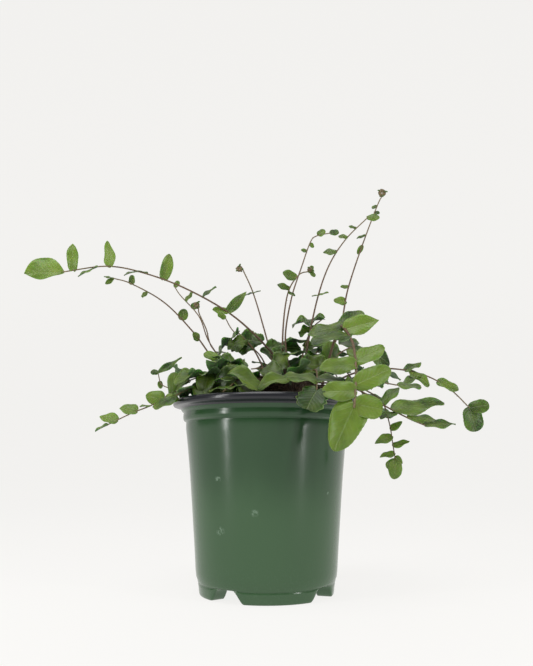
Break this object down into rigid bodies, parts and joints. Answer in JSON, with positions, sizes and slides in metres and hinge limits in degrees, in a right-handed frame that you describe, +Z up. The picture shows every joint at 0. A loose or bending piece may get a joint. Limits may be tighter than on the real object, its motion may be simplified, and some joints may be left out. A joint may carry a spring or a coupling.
{
  "type": "potted fern",
  "caption": "Button fern with wiry arching fronds of small rounded leaflets, growing from a woody crown in potting mix in a round footed nursery pot.",
  "frame": {"origin": "on the pot's axis, at the level its feet stand on", "axes": "+Z up along the pot's axis, -Y the plant's front, +X to the right of someone facing the front"},
  "size_m": [0.2811, 0.1325, 0.2637],
  "materials": {
    "pot_green": "satin",
    "potting_mix": "rough, moist and crumbly",
    "crown_bark": "rough and fibrous",
    "frond_green": "soft sheen of a living leaf"
  },
  "bodies": {
    "root": {"pot": "pot_green", "potting_mix": "potting_mix", "crown": "crown_bark", "frond_long_left": "frond_green", "frond_second_left": "frond_green", "frond_crook_left": "frond_green", "frond_wiry_left": "frond_green", "frond_heart_tip": "frond_green", "frond_crozier_mid": "frond_green", "frond_slim_mid": "frond_green", "frond_slim_tall": "frond_green", "frond_arch_upright": "frond_green", "frond_tallest": "frond_green", "frond_front_cascade": "frond_green", "frond_right_reach": "frond_green", "frond_right_low": "frond_green", "frond_right_hanging": "frond_green", "frond_left_low": "frond_green", "frond_left_back": "frond_green", "frond_mat_left": "frond_green", "frond_mat_front": "frond_green", "frond_mat_mid": "frond_green", "frond_over_rim": "frond_green", "frond_canopy_left": "frond_green", "frond_canopy_mid": "frond_green", "frond_canopy_right": "frond_green", "frond_canopy_front": "frond_green", "frond_canopy_low": "frond_green", "frond_canopy_centre": "frond_green", "frond_shade_right": "frond_green", "frond_shade_low": "frond_green", "frond_back_long": "frond_green", "frond_back_mid": "frond_green", "frond_back_right": "frond_green", "frond_back_low_left": "frond_green", "frond_back_low_right": "frond_green", "frond_back_drape": "frond_green", "frond_front_left": "frond_green", "frond_front_low": "frond_green"}
  },
  "joints": []
}
